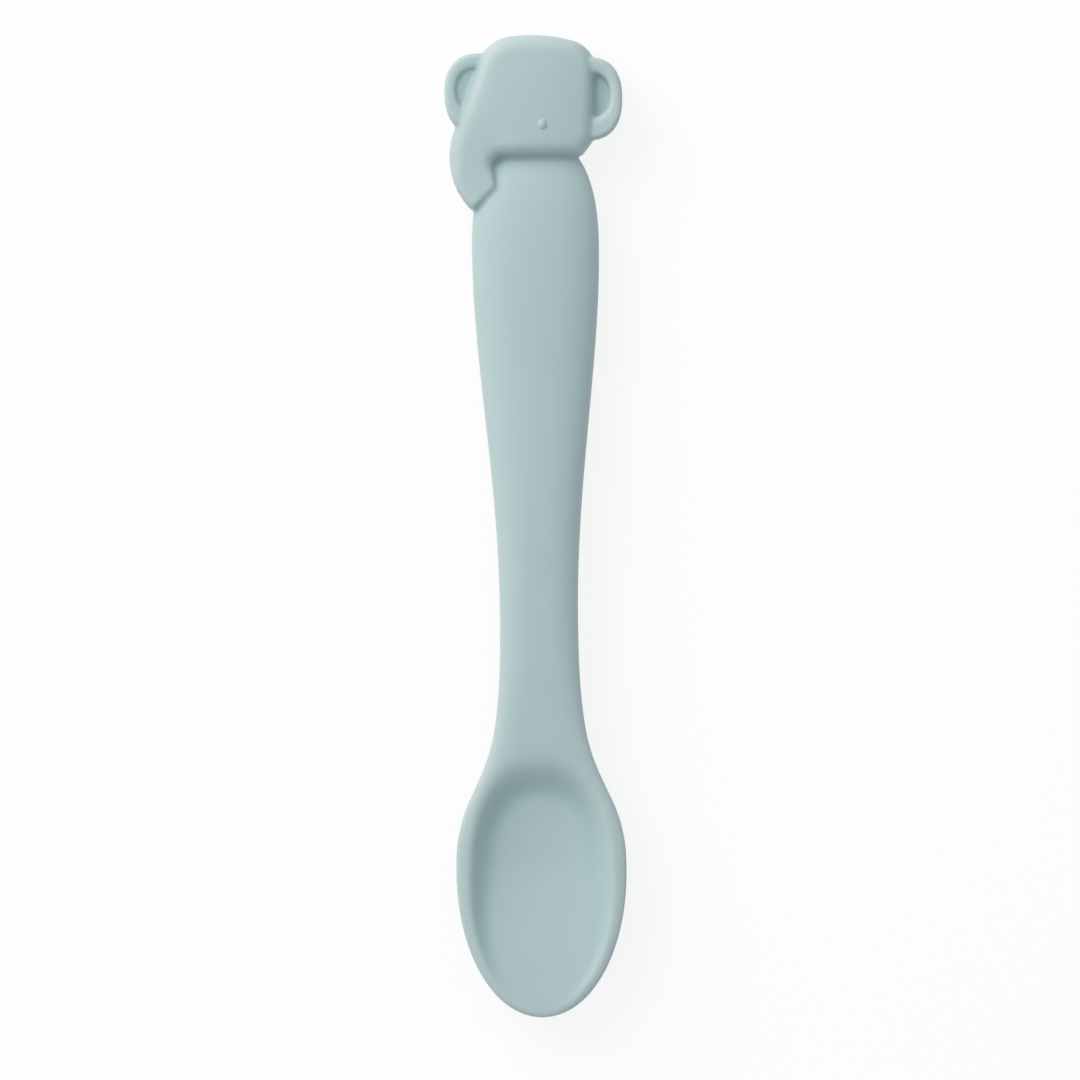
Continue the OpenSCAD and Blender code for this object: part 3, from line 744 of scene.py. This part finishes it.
close = [edge for edge in fine_skin.edges if all(near_eye(v.co) for v in edge.verts)]
bmesh.ops.subdivide_edges(fine_skin, edges=close, cuts=EYE_CUTS, use_grid_fill=True)
lifted = 0
for vert in fine_skin.verts:
    if near_eye(vert.co):
        share = math.hypot((vert.co.x - EYE_X) / EYE_HALF_WIDE, (vert.co.y - EYE_Y) / EYE_HALF_LONG)
        if share < 1:
            vert.co.z += EYE_HEIGHT * math.sqrt(1 - share ** 2)
            lifted += 1
fine_skin.to_mesh(union.data)
fine_skin.free()
print("eye:", lifted, "points lifted")

# %% [markdown]
# ## The core inside
#
# A strip of nylon inside the neck and grip keeps the soft rubber straight. It is injection moulded
# in its natural cream colour and is quite hidden, but a model that is cut open should show it.

# %% Natural nylon
NYLON_COLOUR = "#ece9df"
NYLON_SHADE = "#e2decf"
FLOW_SIZE = 4 * MM

nylon, tree, shader = new_material("natural injection moulded nylon")
where = add(tree, "ShaderNodeTexCoord").outputs["Object"]
flow = add(tree, "ShaderNodeTexNoise", {"Vector": where, "Scale": 1 / FLOW_SIZE, "Detail": 2.0})
tint = add(tree, "ShaderNodeMix", [flow, linear(NYLON_COLOUR), linear(NYLON_SHADE)], data_type="RGBA")
tree.links.new(tint.outputs[2], shader.inputs["Base Color"])
shader.inputs["Roughness"].default_value = 0.45
shader.inputs["IOR"].default_value = 1.53
shader.inputs["Subsurface Weight"].default_value = 0.1
shader.inputs["Subsurface Scale"].default_value = 1 * MM
core = bpy.data.objects["stiffener_core"]
for slot in core.material_slots:
    slot.material = nylon
print("dressed", core.name, "in", nylon.name)

# %% [markdown]
# ## What moves with what
#
# The spoon has no joints, so everything rides on the one body. The new skin stands for the packed
# silicone, which stays hidden for the motion checks.

# %% Ride on the body
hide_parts("silicone_body")
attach(union, "root")
print(union.name, "rides on root in place of silicone_body")

# %% [markdown]
# ## Table, light and camera
#
# The photograph looks straight down on a white table. A white surface that is lit as plainly as the
# spoon would look pale grey, so part of what the camera sees of it is white of its own, and the
# rest still takes the spoon's shadow. The light is soft: the whole surroundings shine evenly, and
# one large lamp stands low beyond the upper left of the head.

# %% A white table
FLOOR_HALF = 3  # metres, so that its edge is never in view
FLOOR_COLOUR = "#f4f4f4"
FLOOR_OWN_WHITE = 0.85


def seen_share(tree):
    """1 for what is looked at, straight, mirrored or through glass, and 0 for light on its way."""
    ray = add(tree, "ShaderNodeLightPath").outputs
    seen = add(tree, "ShaderNodeMath", [ray["Is Camera Ray"], ray["Is Glossy Ray"]], operation="MAXIMUM")
    return add(tree, "ShaderNodeMath", [seen, ray["Is Transmission Ray"]], operation="MAXIMUM")


paper, tree, shader = new_material("white paper")
shader.inputs["Base Color"].default_value = linear(FLOOR_COLOUR)
shader.inputs["Roughness"].default_value = 0.9
shader.inputs["Specular IOR Level"].default_value = 0.0
share = add(tree, "ShaderNodeMath", [seen_share(tree), FLOOR_OWN_WHITE], operation="MULTIPLY")
white = add(tree, "ShaderNodeEmission", {"Color": (1, 1, 1, 1), "Strength": 1.0})
mixed = add(tree, "ShaderNodeMixShader", [share, shader.outputs[0], white])
tree.links.new(mixed.outputs[0], tree.nodes["Material Output"].inputs["Surface"])

mesh = bpy.data.meshes.new("table")
corners = [(x * FLOOR_HALF, y * FLOOR_HALF, 0) for x, y in ((-1, -1), (1, -1), (1, 1), (-1, 1))]
mesh.from_pydata(corners, [], [(0, 1, 2, 3)])
mesh.materials.append(paper)
table = new_object("table", mesh)
print("table:", 2 * FLOOR_HALF, "m wide")

# %% Even surroundings
HORIZON_LEVEL, ZENITH_LEVEL = 0.355, 0.71
SKY_WHITE = (0.94, 1, 1.04, 1)  # a touch cooler than the lamp
world = bpy.data.worlds.new("soft room")
bpy.context.scene.world = world
world.use_nodes = True
tree = world.node_tree
way = add(tree, "ShaderNodeTexCoord").outputs["Generated"]
upward = add(tree, "ShaderNodeSeparateXYZ", [way]).outputs["Z"]
glow = add(tree, "ShaderNodeMapRange", [upward, 0.0, 1.0, HORIZON_LEVEL, ZENITH_LEVEL])
level = add(tree, "ShaderNodeMix", [seen_share(tree), glow, 1.0])
sky = tree.nodes["Background"]
sky.inputs["Color"].default_value = SKY_WHITE
tree.links.new(level.outputs[0], sky.inputs["Strength"])
print("surroundings:", HORIZON_LEVEL, "at the horizon and", ZENITH_LEVEL, "overhead")

# %% One large low lamp beyond the upper left of the head
LAMP_FROM = Vector((-178, 196, 172)).normalized()  # 33 degrees above the table
LAMP_TARGET = Vector((0, 0, 6)) * MM
LAMP_DISTANCE = 1.2
LAMP_SIZE = 1.0
LAMP_POWER = 12.9
LAMP_WHITE = (1.1, 1.0, 0.93)  # a touch warmer than the surroundings

lamp_data = bpy.data.lights.new("softbox", "AREA")
lamp_data.shape = "SQUARE"
lamp_data.size = LAMP_SIZE
lamp_data.energy = LAMP_POWER
lamp_data.color = LAMP_WHITE
lamp = bpy.data.objects.new("softbox", lamp_data)
lamp.location = LAMP_TARGET + LAMP_FROM * LAMP_DISTANCE
lamp.rotation_euler = LAMP_FROM.to_track_quat("Z", "Y").to_euler()
bpy.context.scene.collection.objects.link(lamp)
print("lamp stands at", [round(part, 2) for part in lamp.location])

# %% The camera looks straight down through a long lens, turned a little
VIEW_X, VIEW_Y, VIEW_LEVEL = 0.35 * MM, -2.03 * MM, 6 * MM
VIEW_WIDTH = 160.6 * MM
VIEW_TURN = -0.55  # degrees
LENS, SENSOR = 300, 36  # millimetres on the camera, not in the scene
CLIP_NEAR, CLIP_FAR = 0.01, 20

camera_data = bpy.data.cameras.new("camera")
camera_data.lens = LENS
camera_data.sensor_width = SENSOR
camera_data.clip_start, camera_data.clip_end = CLIP_NEAR, CLIP_FAR
camera = bpy.data.objects.new("camera", camera_data)
camera.location = (VIEW_X, VIEW_Y, VIEW_LEVEL + VIEW_WIDTH * LENS / SENSOR)
camera.rotation_euler = (0, 0, math.radians(VIEW_TURN))
bpy.context.scene.collection.objects.link(camera)
bpy.context.scene.camera = camera
bpy.context.scene.view_settings.view_transform = "Standard"
print("camera stands", round(camera.location.z, 3), "m above the table")
